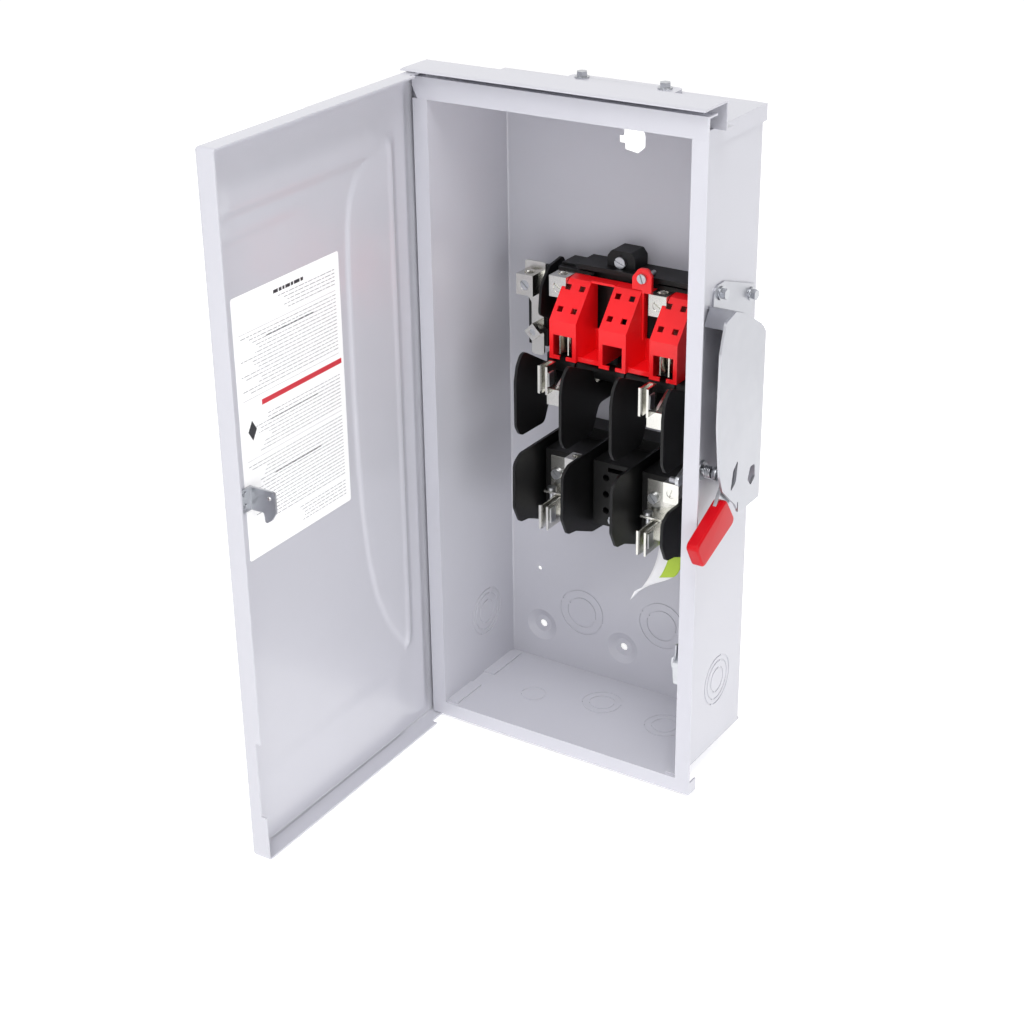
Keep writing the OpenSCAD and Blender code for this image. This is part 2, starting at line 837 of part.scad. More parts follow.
// Guard over the lever: outer plate, top and rear webs, and flanges on the wall
module handle_guard() {
    web_x = guard_x + eps;
    color(zinc) place() {
        difference() {
            plate_yz(guard_x, guard_t, rounded(guard_outline, [3, 4, 4, 4, 2, 2, 4, 8, 10, 30, 10, 4]));
            plate_yz(guard_x - 1, guard_t + 2, rounded([[-72, 281], [-80, 274], [-84, 257], [-75, 262]],
                [1, 4, 1, 4]));
            plate_yz(guard_x - 1, guard_t + 2, rounded([[-42, 266], [-50, 266], [-54, 256], [-48, 249],
                [-41, 254]], 2.5));
            block([guard_x - 1, -71, 234.5], [guard_x + 4, -69.4, 243]);
        }
        plate_yz(half_w, web_x - half_w, [[-85, 405], [-67, 398], [-37, 379], [-34, 375], [-32, 375],
            [-36, 382], [-67, 400.5], [-85, 407]]);
        block([half_w, -33.5, 236], [web_x, -32, 375 + eps]);
        plate_yz(half_w + 2, web_x - half_w - 2, [[-85.2, 407], [-84, 405.4], [-92, 393], [-93.6, 393.8]]);
        difference() {
            union() {
                plate_yz(half_w, sheet, rounded([[-78, 402], [-54, 391], [-36, 380], [-6, 380], [-6, 402],
                    [-60, 420], [-78, 420]], [0, 0, 0, 6, 8, 8, 8]));
                block([half_w, -33, 236], [half_w + sheet, -16, 262]);
            }
            for (hole = guard_bolt_places) rod_x(half_w - 1, hole.x, hole.y, 2.2, 5);
        }
    }
}

module guard_bolts() {
    color(zinc) place()
        for (hole = guard_bolt_places) {
            hex_bolt_x(half_w + sheet, hole.x, hole.y, 4.4, 10);
        }
}

// ---- door interlock ----

module interlock_bush() {
    color(zinc) place()
        difference() {
            union() {
                rod_x(wall_in, dog_y, dog_z, 5, sheet + 1);
                rod_x(half_w, dog_y, dog_z, 8, 2.5);
            }
            rod_x(wall_in - 1, dog_y, dog_z, dog_pin_r + fit_gap, 8);
        }
}

// Dog that rises behind the hook of the door when the handle goes to on
module interlock_dog() {
    stud_y = dog_y - 18.9;
    stud_z = dog_z - 4.4;
    color(zinc) place() {
        rod_x(106, dog_y, dog_z, dog_pin_r, 24.5);
        difference() {
            rod_x(129.5, dog_y, dog_z, 5.5, 3);
            translate([132.5, dog_y, dog_z]) rotate([30, 0, 0]) cube([2.4, 14, 1.4], center = true);
        }
        plate_yz(107, 3, rounded([[dog_y + 7, dog_z + 5], [dog_y - 2, dog_z + 7], [stud_y - 4, stud_z + 4],
            [stud_y - 4, stud_z - 4], [dog_y + 5, dog_z - 7]], [5, 5, 3.5, 3.5, 5]));
        rod_x(101, stud_y, stud_z, 2.5, 7);
    }
}

// Small spring round the dog's pin, between its bush and its slotted head
module interlock_spring() {
    color(zinc) place()
        for (turn = [0:3])
            translate([121.6 + 2 * turn, dog_y, dog_z]) rotate([0, 90, 0])
                rotate_extrude() translate([4.4, 0]) circle(r = 0.7, $fn = 14);
}

// ---- door, drawn closed and then turned about its hinge ----

module open_door() {
    place() translate([hinge_x, hinge_y, 0]) rotate([0, 0, -door_open]) translate([-hinge_x, -hinge_y, 0])
        children();
}

module door_panel() {
    rim_back = door_front + rim_d;
    color(paint) open_door()
        difference() {
            union() {
                block([door_left, door_front, door_low], [door_right, door_back, door_high]);
                block([door_right - sheet, door_front, door_low], [door_right, rim_back, door_high]);
                block([door_left, door_front, door_low], [door_left + sheet, hinge_y + 5, door_high]);
                for (z = [door_low, door_high - sheet])
                    plate_rim(z, rim_back);
            }
            block([door_right - 3, rim_back - 5, 25], [door_right + 1, rim_back + 1, 93]);
            rod_z(hinge_x, hinge_y, door_low - 1, pin_r + fit_gap, 4);
            rod_z(hinge_x, hinge_y, door_high - 3, pin_r + fit_gap, 4);
        }
}

// Top or bottom rim, cut back beside the hinge to clear the enclosure
module plate_rim(z, rim_back) {
    translate([0, 0, z]) linear_extrude(sheet)
        polygon([[door_left, door_front], [door_right, door_front], [door_right, rim_back],
            [door_left + 40, rim_back], [door_left + 18, hinge_y + 5], [door_left, hinge_y + 5]]);
}

module door_label() {
    color(white) open_door()
        difference() {
            block([-21, door_back, 238], [108, door_back + 0.3, 447]);
            block([hook_x - 1.5, door_back - 1, 280.5], [109, door_back + 1, 300.5]);
        }
}

// Hook plate on the inside of the door, with a foot riveted to the panel
module interlock_hook() {
    color(zinc) open_door() {
        difference() {
            plate_yz(hook_x - 1, 2, rounded([[door_back, 300], [door_back, 281], [-103, 281], [-102, 272],
                [-96, 276], [-91.5, 283], [-91.5, 300]], [0, 0, 1, 1.5, 3, 3, 3]));
            rod_x(hook_x - 3, -97, 294, 2, 6);
        }
        block([hook_x + 1 - eps, door_back, 281], [hook_x + 12.4, door_back + 2, 300]);
    }
}

module hook_rivets() {
    color(zinc) open_door()
        for (z = [285.5, 295.5]) rod_y(hook_x + 7, door_back + 2, z, 2.6, 1.2);
}

// ---- catch inside the right wall ----

catch_y = -104;
catch_z = 101;

module catch_bracket() {
    ear_x = wall_in - 12;
    color(zinc) place() {
        block([wall_in - 1.5, catch_y - 7, 88], [wall_in, catch_y + 9, 114]);
        difference() {
            plate_xz(catch_y + 2, 1.5, rounded([[ear_x - 1, 94], [wall_in, 94], [wall_in, 108],
                [ear_x - 1, 108]], [5, 0, 0, 5]));
            rod_y(wall_in - 7, catch_y - 1, catch_z, 2 + fit_gap, 12);
        }
    }
}

// Twisted tongue that turns on its rivet to hold the door shut
module catch_tongue() {
    pivot_x = wall_in - 7;
    color(zinc) place() {
        rod_y(pivot_x, catch_y - 0.8, catch_z, 2, 5.5);
        rod_y(pivot_x, catch_y + 3.8, catch_z, 4, 1);
        plate_xz(catch_y - 0.6, 2, rounded([[pivot_x - 4, 84], [pivot_x + 2, 82], [pivot_x + 4.5, 106],
            [pivot_x + 1, 119], [pivot_x - 4, 121]], [1.5, 1.5, 4, 2, 2]));
    }
}

// ---- paper tags hung under the right load terminal ----

tag_hang_z = 186;

// Strip of card that hangs from the load base and curls towards the door
module tag_card() {
    curl_r = 46;
    thick = 0.8;
    color(white) place()
        translate([0, 0, tag_hang_z - 3]) intersection() {
            translate([49, -curl_r - 40, 0]) rotate([0, 90, 0])
                difference() {
                    cylinder(r = curl_r, h = 24, $fn = 96);
                    translate([0, 0, -1]) cylinder(r = curl_r - thick, h = 26, $fn = 96);
                }
            block([40, -58, -42], [80, -30, 0]);
        }
}

// Flat ground instruction tag with a hanging slot
module ground_tag() {
    color(lime) place()
        difference() {
            plate_xz(-30, 1, rounded([[58, 146], [84, 150], [84, 172.5], [58, 172.5]], [3, 3, 0, 0]));
            block([66, -31, 164], [74, -28, 167]);
        }
}

back_sheet();
left_side();
right_side();
bottom_plate();
top_cap();
header_channel();
drip_hood();
hub_closing_plate();
hub_plate_screws();
hinge_pins();
switch_base();
base_screws();
line_shield();
shield_screw();
line_lug_left();
line_lug_right();
line_lug_screws();
contact_jaw_left();
contact_jaw_right();
upper_barriers();
upper_clip_left();
upper_clip_right();
clip_springs();
load_base();
load_base_screws();
lower_clip_left();
lower_clip_right();
terminal_plate_left();
terminal_plate_right();
terminal_screws();
load_lug_left();
load_lug_right();
load_lug_screws();
neutral_base();
neutral_strap();
neutral_lugs();
neutral_lug_screws();
neutral_barrier();
rotor_bearings();
rotor_shaft();
blade_left();
blade_right();
handle_bush();
operating_spring();
handle_shaft();
handle_lever();
handle_grip();
handle_guard();
guard_bolts();
interlock_bush();
interlock_dog();
interlock_spring();
door_panel();
door_label();
interlock_hook();
hook_rivets();
catch_bracket();
catch_tongue();
tag_card();
ground_tag();
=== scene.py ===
"""Looks of a fused disconnect switch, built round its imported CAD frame.

Every length is in metres in the part's own frame: +Z up, +X right, the door at -Y. Sizes that a
drawing would give in millimetres are written as millimetres times MM.
"""

import json
import logging
import math
import random
from collections.abc import Callable, Sequence
from dataclasses import dataclass, field
from enum import Enum

import bmesh
import bpy
from mathutils import Matrix, Vector


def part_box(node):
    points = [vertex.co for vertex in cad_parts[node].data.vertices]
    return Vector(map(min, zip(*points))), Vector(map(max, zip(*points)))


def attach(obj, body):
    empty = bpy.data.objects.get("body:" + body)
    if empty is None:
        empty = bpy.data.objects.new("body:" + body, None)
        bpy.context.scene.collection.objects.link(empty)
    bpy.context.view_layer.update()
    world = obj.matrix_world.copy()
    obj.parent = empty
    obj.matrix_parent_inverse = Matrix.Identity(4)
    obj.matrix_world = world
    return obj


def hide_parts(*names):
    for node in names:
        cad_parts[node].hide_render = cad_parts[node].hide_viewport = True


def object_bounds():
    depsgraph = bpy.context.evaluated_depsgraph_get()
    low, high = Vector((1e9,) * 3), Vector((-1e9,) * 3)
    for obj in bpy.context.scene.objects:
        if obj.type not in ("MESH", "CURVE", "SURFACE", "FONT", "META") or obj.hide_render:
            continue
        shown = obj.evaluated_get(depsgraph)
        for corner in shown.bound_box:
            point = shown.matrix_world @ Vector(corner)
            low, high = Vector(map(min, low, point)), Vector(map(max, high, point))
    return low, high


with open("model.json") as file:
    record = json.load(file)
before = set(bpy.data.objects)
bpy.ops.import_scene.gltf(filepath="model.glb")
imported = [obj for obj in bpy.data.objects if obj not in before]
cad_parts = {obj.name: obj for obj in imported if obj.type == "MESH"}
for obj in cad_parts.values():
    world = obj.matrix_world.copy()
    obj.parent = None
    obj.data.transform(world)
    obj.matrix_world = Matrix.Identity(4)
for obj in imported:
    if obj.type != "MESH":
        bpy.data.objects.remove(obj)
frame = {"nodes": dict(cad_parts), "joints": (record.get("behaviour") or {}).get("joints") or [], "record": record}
CAD_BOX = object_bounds()

# Lengths in metres, angles in radians: the joins of points, the broken edges and the curved steps.
MM = 0.001
FULL_TURN = 2 * math.pi
QUARTER = math.pi / 2
ARC_STEPS = 6
CAD_WELD = 0.002 * MM
PAN_WELD = 0.005 * MM
EDGE_STEPS = 2
EDGE_CORNER = math.radians(35)
DIAMOND = ((-1, 0), (0, -1), (1, 0), (0, 1))
SQUARE = ((-1, -1), (1, -1), (1, 1), (-1, 1))
LOG = logging.getLogger("switch")


# ---------------------------------------------------------------- colour and nodes


def srgb(code: str) -> tuple[float, float, float, float]:
    """Turn an sRGB hex code into an opaque linear colour.

    Args:
        code: Six hex digits after a hash sign.

    Returns:
        Linear red, green and blue, and an alpha of 1.
    """
    channels = [int(code[i : i + 2], 16) / 255 for i in (1, 3, 5)]
    linear = [c / 12.92 if c <= 0.04045 else ((c + 0.055) / 1.055) ** 2.4 for c in channels]
    return (linear[0], linear[1], linear[2], 1.0)


def add_node(
    tree: bpy.types.NodeTree,
    kind: str,
    settings: dict[str, object] | None = None,
    links: dict[str, bpy.types.NodeSocket] | None = None,
) -> bpy.types.Node:
    """Add one shader node with its settings and its links.

    Args:
        tree: Node tree that takes the node.
        kind: Blender's type name of the node.
        settings: Values by property name or by input name.
        links: Output sockets by the name of the input that each one feeds.

    Returns:
        The new node.
    """
    node = tree.nodes.new(kind)
    for name, value in (settings or {}).items():
        if name in node.inputs:
            node.inputs[name].default_value = value
        else:
            setattr(node, name, value)
    for name, socket in (links or {}).items():
        tree.links.new(socket, node.inputs[name])
    return node


class Pattern(Enum):
    """How a surface was made, which sets the shape of its fine relief."""

    ORANGE_PEEL = "sprayed and baked paint"
    MOULDED = "spark-eroded mould"
    BRUSHED = "rolled or brushed metal"
    SPANGLE = "zinc crystals"
    FIBRE = "paper fibre"


@dataclass(frozen=True)
class Finish:
    """One surface finish: what it is made of and how its surface was made.

    Fields in millimetres are real sizes on the surface. Roughness and its swing stay on one side of
    0.274 on painted and moulded surfaces, where the denoiser changes its treatment of a gloss.
    """

    name: str
    slot: str
    colour: str
    second: str
    pattern: Pattern
    metallic: float = 0.0
    roughness: float = 0.4
    swing: float = 0.06
    coat: float = 0.0
    coat_roughness: float = 0.08
    grain_mm: float = 1.2
    patch_mm: float = 70.0
    relief_mm: float = 0.02
    ior: float = 1.5
    patch_detail: float = 3.0
    patch_mix: float = 0.6
    grain_mix: float = 0.55
    fine_detail: float = 5.0
    soft_detail: float = 2.0
    brush_stretch: float = 0.06
    cell_blur: float = 0.6
    patch_span: tuple[float, float] = (0.1, 0.9)

    def stretch(self) -> tuple[float, float, float]:
        """Scale of the grain along X, Y and Z, longer along Z on brushed metal."""
        along = self.brush_stretch if self.pattern is Pattern.BRUSHED else 1.0
        return (1.0, 1.0, along)

    def height(self, tree: bpy.types.NodeTree, place: bpy.types.NodeSocket) -> bpy.types.NodeSocket:
        """Build the fine relief of the surface.

        Args:
            tree: Node tree of the material.
            place: Coordinates in metres on the piece.

        Returns:
            The socket that holds the height, from 0 to 1.
        """
        scale = 1.0 / (self.grain_mm * MM)
        mapped = add_node(tree, "ShaderNodeMapping", {"Scale": self.stretch()}, {"Vector": place})
        if self.pattern is Pattern.SPANGLE:
            cells = add_node(
                tree,
                "ShaderNodeTexVoronoi",
                {"feature": "SMOOTH_F1", "Scale": scale, "Smoothness": self.cell_blur},
                {"Vector": mapped.outputs["Vector"]},
            )
            return cells.outputs["Distance"]
        lined = self.pattern in (Pattern.BRUSHED, Pattern.FIBRE)
        detail = self.fine_detail if lined else self.soft_detail
        noise = add_node(
            tree,
            "ShaderNodeTexNoise",
            {"Scale": scale, "Detail": detail, "Roughness": self.grain_mix},
            {"Vector": mapped.outputs["Vector"]},
        )
        return noise.outputs["Fac"]

    def build(self) -> bpy.types.Material:
        """Make the node material.

        Returns:
            The finished material.
        """
        material = bpy.data.materials.new(self.name)
        material.use_nodes = True
        tree = material.node_tree
        tree.nodes.clear()
        place = add_node(tree, "ShaderNodeTexCoord").outputs["Object"]
        patches = add_node(
            tree,
            "ShaderNodeTexNoise",
            {
                "Scale": 1.0 / (self.patch_mm * MM),
                "Detail": self.patch_detail,
                "Roughness": self.patch_mix,
            },
            {"Vector": place},
        )
        tint = add_node(tree, "ShaderNodeValToRGB", {}, {"Fac": patches.outputs["Fac"]})
        ends = tint.color_ramp.elements
        tint.color_ramp.interpolation = "EASE"
        ends[0].position, ends[1].position = self.patch_span
        ends[0].color, ends[1].color = srgb(self.colour), srgb(self.second)
        height = self.height(tree, place)
        dull = add_node(
            tree,
            "ShaderNodeMapRange",
            {
                "interpolation_type": "SMOOTHSTEP",
                "From Min": self.patch_span[0],
                "From Max": self.patch_span[1],
                "To Min": self.roughness - self.swing,
                "To Max": self.roughness + self.swing,
            },
            {"Value": patches.outputs["Fac"] if self.metallic < 1 else height},
        )
        relief = add_node(
            tree,
            "ShaderNodeBump",
            {"Strength": 1.0, "Distance": self.relief_mm * MM},
            {"Height": height},
        )
        shader = add_node(
            tree,
            "ShaderNodeBsdfPrincipled",
            {
                "Metallic": self.metallic,
                "IOR": self.ior,
                "Coat Weight": self.coat,
                "Coat Roughness": self.coat_roughness,
            },
            {
                "Base Color": tint.outputs["Color"],
                "Roughness": dull.outputs["Result"],
                "Normal": relief.outputs["Normal"],
            },
        )
        add_node(tree, "ShaderNodeOutputMaterial", {}, {"Surface": shader.outputs["BSDF"]})
        return material


# Powder paint on steel, baked: an even light grey with soft, slightly wavy highlights.
POWDER_PAINT = Finish(
    "powder_painted_steel", "enclosure_paint", "#C0C0C8", "#C2C2CA", Pattern.ORANGE_PEEL,
    roughness=0.3, swing=0.015, coat=0.3, grain_mm=2.6, patch_mm=60, relief_mm=0.005,
    patch_detail=2.0,
)
# Glossy polyester moulding: saturated red with broad, clean highlights.
RED_POLYESTER = Finish(
    "moulded_red_polyester", "shield_plastic", "#F0121A", "#F6161F", Pattern.MOULDED,
    roughness=0.31, swing=0.03, coat=0.1, grain_mm=0.9, patch_mm=25, relief_mm=0.004,
)
# Polished red nylon: the grip, smoother and a little deeper in colour than the shield.
RED_NYLON = Finish(
    "polished_red_nylon", "grip_plastic", "#B80311", "#C20616", Pattern.MOULDED,
    roughness=0.3, swing=0.02, ior=1.28, grain_mm=1.6, patch_mm=18, relief_mm=0.006,
)
# Glass-filled phenolic: near-black with a dry, finely mottled surface.
BLACK_PHENOLIC = Finish(
    "moulded_black_phenolic", "black_moulding", "#050506", "#0A0A0B", Pattern.MOULDED,
    roughness=0.46, swing=0.03, ior=1.42, grain_mm=0.8, patch_mm=20, relief_mm=0.012,
)
# Tin plate on copper or aluminium: pale, bright, with fine drawn lines.
TIN_PLATE = Finish(
    "bright_tin_plate", "tinned_metal", "#D6D5CF", "#E2E1DC", Pattern.BRUSHED,
    metallic=1.0, roughness=0.22, swing=0.04, grain_mm=0.8, patch_mm=14, relief_mm=0.002,
)
# Zinc plate on steel: cool grey with soft reflections.
ZINC_PLATE = Finish(
    "zinc_plated_steel", "zinc_steel", "#BEC0C4", "#CBCDD1", Pattern.BRUSHED,
    metallic=1.0, roughness=0.33, swing=0.04, grain_mm=0.8, patch_mm=14, relief_mm=0.002,
)
# Galvanised sheet: a dull silver with faint crystals and cloudy patches.
GALVANISED = Finish(
    "galvanised_sheet", "zinc_steel", "#B9BAC0", "#C3C4C9", Pattern.SPANGLE,
    metallic=1.0, roughness=0.34, swing=0.02, grain_mm=9.0, patch_mm=60, relief_mm=0.0015,
)
# Silver-plated copper: warm white contact metal with drawn lines.
SILVER_PLATE = Finish(
    "silver_plated_copper", "contact_copper", "#DDD6CA", "#E9E4DB", Pattern.BRUSHED,
    metallic=1.0, roughness=0.22, swing=0.05, grain_mm=0.8, patch_mm=10, relief_mm=0.002,
)
# Coated label paper: white with a slight gloss.
LABEL_PAPER = Finish(
    "coated_label_paper", "label_paper", "#FCFCFD", "#FFFFFF", Pattern.FIBRE,
    roughness=0.5, swing=0.05, grain_mm=0.8, patch_mm=30, relief_mm=0.006,
)
# Uncoated card: white and dry.
TAG_CARD = Finish(
    "white_tag_card", "tag_paper", "#EDEDF0", "#F6F6F8", Pattern.FIBRE,
    roughness=0.62, swing=0.05, grain_mm=0.7, patch_mm=20, relief_mm=0.015,
)
# The printed side of the tag: flat yellow-green ink on card.
LIME_CARD = Finish(
    "lime_printed_card", "ground_paper", "#A9C735", "#B8D444", Pattern.FIBRE,
    roughness=0.55, swing=0.05, grain_mm=0.7, patch_mm=20, relief_mm=0.015,
)
# Thin black ink, seen as grey at this size of print.
GREY_INK = Finish(
    "grey_print_ink", "label_paper", "#85858C", "#95959B", Pattern.FIBRE,
    roughness=0.5, grain_mm=0.6, relief_mm=0.002,
)
# Dense black ink of the heavier marks.
BLACK_INK = Finish(
    "black_print_ink", "label_paper", "#2A2A2E", "#36363A", Pattern.FIBRE,
    roughness=0.5, grain_mm=0.6, relief_mm=0.002,
)
# Red ink of the ruled bar.
RED_INK = Finish(
    "red_print_ink", "label_paper", "#C8303C", "#D03A46", Pattern.FIBRE,
    roughness=0.45, grain_mm=0.6, relief_mm=0.002,
)


class Palette:
    """Makes each finish once and hands out its material."""

    def __init__(self) -> None:
        """Start with no material made."""
        self.made: dict[str, bpy.types.Material] = {}

    def get(self, finish: Finish) -> bpy.types.Material:
        """Material of a finish, made on first use.

        Args:
            finish: The finish wanted.

        Returns:
            Its material.
        """
        if finish.name not in self.made:
            self.made[finish.name] = finish.build()
        return self.made[finish.name]

    def dress(self, piece: bpy.types.Object, finish: Finish) -> None:
        """Give a piece one finish over its whole surface.

        Args:
            piece: Mesh object to dress.
            finish: Its finish.
        """
        material = self.get(finish)
        if not piece.material_slots:
            piece.data.materials.append(material)
        for place in piece.material_slots:
            place.material = material


PALETTE = Palette()


# ---------------------------------------------------------------- meshes


def mesh_piece(
    name: str, build: Callable[[bmesh.types.BMesh], None], finish: Finish, body: str
) -> bpy.types.Object:
    """Make a piece from a bmesh builder, dress it and let it ride on a body.

    Args:
        name: Name of the new piece.
        build: Function that fills an empty bmesh.
        finish: Finish of the piece.
        body: CAD body that the piece moves with.

    Returns:
        The new object.
    """
    grid = bmesh.new()
    build(grid)
    bmesh.ops.recalc_face_normals(grid, faces=grid.faces)
    mesh = bpy.data.meshes.new(name)
    grid.to_mesh(mesh)
    grid.free()
    piece = bpy.data.objects.new(name, mesh)
    bpy.context.scene.collection.objects.link(piece)
    PALETTE.dress(piece, finish)
    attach(piece, body)
    return piece


def smooth(piece: bpy.types.Object, corner: float | None = None) -> None:
    """Shade every face of a new piece smooth, apart from its corners.

    Args:
        piece: Mesh object to shade.
        corner: Smallest corner in degrees that stays sharp, or None to round them all.
    """
    for polygon in piece.data.polygons:
        polygon.use_smooth = True
    if corner is not None:
        piece.data.set_sharp_from_angle(angle=math.radians(corner))


def weld(piece: bpy.types.Object, reach: float) -> None:
    """Join the points of a piece that lie closer than reach, in metres."""
    joined = piece.modifiers.new("weld", "WELD")
    joined.merge_threshold = reach


def round_edges(piece: bpy.types.Object, width: float) -> None:
    """Break the sharp edges of a piece as a press, mould or tumbler does.

    Args:
        piece: Mesh object, new or from the CAD frame.
        width: Width of the broken edge in metres.
    """
    weld(piece, CAD_WELD)
    bevel = piece.modifiers.new("edge", "BEVEL")
    bevel.width = width
    bevel.segments = EDGE_STEPS
    bevel.limit_method = "ANGLE"
    bevel.angle_limit = EDGE_CORNER
    bevel.harden_normals = True


def quad_strip(grid: bmesh.types.BMesh, rows: Sequence[Sequence[Vector]]) -> None:
    """Skin rows of points with quads.

    Args:
        grid: Mesh that takes the faces.
        rows: Rows of equally many points.
    """
    made = [[grid.verts.new(point) for point in row] for row in rows]
    for low, high in zip(made, made[1:]):
        for i in range(len(low) - 1):
            grid.faces.new((low[i], low[i + 1], high[i + 1], high[i]))


def capped_strip(grid: bmesh.types.BMesh, rows: Sequence[Sequence[Vector]]) -> None:
    """Skin closed rows of points and cap the first and the last one.

    Args:
        grid: Mesh that takes the faces.
        rows: Rows of equally many points, each closed on itself.
    """
    made = [[grid.verts.new(point) for point in row] for row in rows]
    count = len(made[0])
    for low, high in zip(made, made[1:]):
        for i in range(count):
            j = (i + 1) % count
            grid.faces.new((low[i], low[j], high[j], high[i]))
    grid.faces.new(made[0])
    grid.faces.new(list(reversed(made[-1])))


def step(x: float, low: float, high: float) -> float:
    """Smooth step from 0 at low to 1 at high."""
    t = min(1.0, max(0.0, (x - low) / (high - low)))
    return t * t * (3 - 2 * t)


def band(x: float, span: tuple[float, ...]) -> float:
    """Smooth band, from 0 up to 1 over the first two places of span and down over the last two."""
    return step(x, span[0], span[1]) * (1 - step(x, span[2], span[3]))


def arc(start: float, stop: float, steps: int) -> list[float]:
    """Angles from start to stop in equal steps, both ends among them."""
    return [start + (stop - start) * i / steps for i in range(steps + 1)]


def mm(*values: float) -> tuple[float, ...]:
    """Turn millimetres into metres."""
    return tuple(value * MM for value in values)


# ---------------------------------------------------------------- door


@dataclass
class DoorSpace:
    """Places on the door, measured from its hinge as if it were closed."""

    hinge: Vector
    open_angle: float
    along: Vector = field(init=False)
    inward: Vector = field(init=False)

    def __post_init__(self) -> None:
        """Work out the directions along the door and into the enclosure."""
        turn = Matrix.Rotation(-self.open_angle, 3, "Z")
        self.along = turn @ Vector((1, 0, 0))
        self.inward = turn @ Vector((0, 1, 0))

    def at(self, u: float, w: float, z: float) -> Vector:
        """Point u along the door, w into the enclosure and at height z."""
        flat = self.hinge + self.along * u + self.inward * w
        return Vector((flat.x, flat.y, z))


@dataclass
class Door:
    """Folded door pan with its pressed field."""

    space: DoorSpace
    low: float
    high: float
    left: float = -4.8 * MM
    right: float = 258.5 * MM
    face: float = -7.0 * MM
    sheet: float = 1.5 * MM
    rim: float = 17.5 * MM
    hinge_rim: float = 12.0 * MM
    fold: float = 3.0 * MM
    notch: tuple[float, ...] = mm(-10, 58)
    notch_depth: float = 5 * MM
    hinge_side: float = 18 * MM
    bead_u: float = 37 * MM
    bead_low: float = 33 * MM
    bead_high: float = 483 * MM
    rise: float = 3.2 * MM
    bead_rise: float = 3.0 * MM
    shelf_rise: float = 2.2 * MM
    valley_drop: float = 3.0 * MM
    near_edge: float = 5 * MM
    far_edge: float = 12 * MM
    bead_half: float = 2.4 * MM
    field_span: tuple[float, ...] = mm(30, 60, 228, 246)
    top_span: tuple[float, ...] = mm(470, 476, 486, 504)
    shelf_span: tuple[float, ...] = mm(452, 457, 462, 470)
    shelf_fade: tuple[float, ...] = mm(130, 190)
    foot_fade: tuple[float, ...] = mm(12, 26)
    valley_fade: tuple[float, ...] = mm(3, 14)
    valley_start: float = 1 * MM
    valley_end: float = 24 * MM
    overlap: float = 0.4
    columns: int = 130
    lines: int = 200
    corner_angle: float = 40.0
    head_curve: tuple[tuple[float, ...], ...] = (mm(36, 486), mm(60, 479), mm(80, 466), mm(91, 450))
    side_curve: tuple[tuple[float, ...], ...] = (mm(96, 428), mm(98, 380), mm(98.5, 300), mm(97, 228))
    turn_curve: tuple[tuple[float, ...], ...] = (mm(94, 180), mm(89, 140), mm(80, 102))
    foot_curve: tuple[tuple[float, ...], ...] = (mm(66, 70), mm(50, 46), mm(36, 30))
    curve: tuple[tuple[float, ...], ...] = field(init=False)
    bead_span: tuple[float, ...] = field(init=False)

    def __post_init__(self) -> None:
        """Join the stretches of the pressed curve, and place the ends of its bead."""
        self.curve = self.head_curve + self.side_curve + self.turn_curve + self.foot_curve
        low, high, short, long = self.bead_low, self.bead_high, 4 * MM, 8 * MM
        self.bead_span = (low - short, low + long, high - long, high + short)

    def inset(self, u: float, z: float) -> tuple[float, float]:
        """Distance from the pressed curve, and the share of the way from the curve to the bead.

        Args:
            u: Distance from the hinge.
            z: Height in the part's frame.

        Returns:
            Distance in metres (0 outside the curve), and a share from 0 at the curve to 1 at the bead.
        """
        reach, edge = math.inf, 0.0
        for (u0, z0), (u1, z1) in zip(self.curve, self.curve[1:]):
            du, dz = u1 - u0, z1 - z0
            t = min(1.0, max(0.0, ((u - u0) * du + (z - z0) * dz) / (du * du + dz * dz)))
            reach = min(reach, math.hypot(u - u0 - t * du, z - z0 - t * dz))
            if z1 <= z <= z0:
                edge = u0 + (u1 - u0) * (z - z0) / (z1 - z0)
        if u >= edge:
            return 0.0, 0.0
        return reach, min(1.0, (edge - u) / max(edge - self.bead_u, 1 * MM))

    def relief(self, u: float, z: float) -> float:
        """Height of the pressed field above the flat sheet, towards the enclosure.

        Args:
            u: Distance from the hinge.
            z: Height in the part's frame.

        Returns:
            Height in metres.
        """
        reach, share = self.inset(max(u, self.bead_u), z)
        crescent = (step(reach, 0, self.near_edge) + share * step(reach, 0, self.far_edge)) * self.rise / 2
        crescent *= step(u, self.bead_u - self.far_edge, self.bead_u)
        ridge = math.exp(-(((u - self.bead_u) / self.bead_half) ** 2)) * self.bead_rise
        ridge *= band(z, self.bead_span)
        wide = band(u, self.field_span)
        top = band(z, self.top_span) * self.shelf_rise
        shelf = band(z, self.shelf_span) * step(u, *self.shelf_fade) * self.shelf_rise / 2
        foot = (1 - step(z, *self.foot_fade)) * self.shelf_rise / 2
        valley = (1 - step(u, *self.valley_fade)) * step(u, self.left + self.fold, self.valley_start)
        valley *= step(z, self.low + self.fold, self.low + self.valley_end)
        valley *= step(self.high - z, self.fold, self.valley_end) * self.valley_drop
        pressed = max(crescent, ridge, wide * max(top, shelf, foot))
        return pressed + self.overlap * min(crescent, ridge) - valley

    def field_rows(self, back: bool) -> list[list[Vector]]:
        """Rows of points over the panel between its folds.

        Args:
            back: Whether the rows lie on the outer face of the door.

        Returns:
            Rows from the bottom to the top.
        """
        start, stop = self.left + self.fold, self.right - self.fold
        bottom, top = self.low + self.fold, self.high - self.fold
        level = self.face + (0 if back else self.sheet)
        rows = []
        for j in range(self.lines + 1):
            z = bottom + (top - bottom) * j / self.lines
            row = []
            for i in range(self.columns + 1):
                u = start + (stop - start) * i / self.columns
                row.append(self.space.at(u, level + self.relief(u, z), z))
            rows.append(row)
        return rows

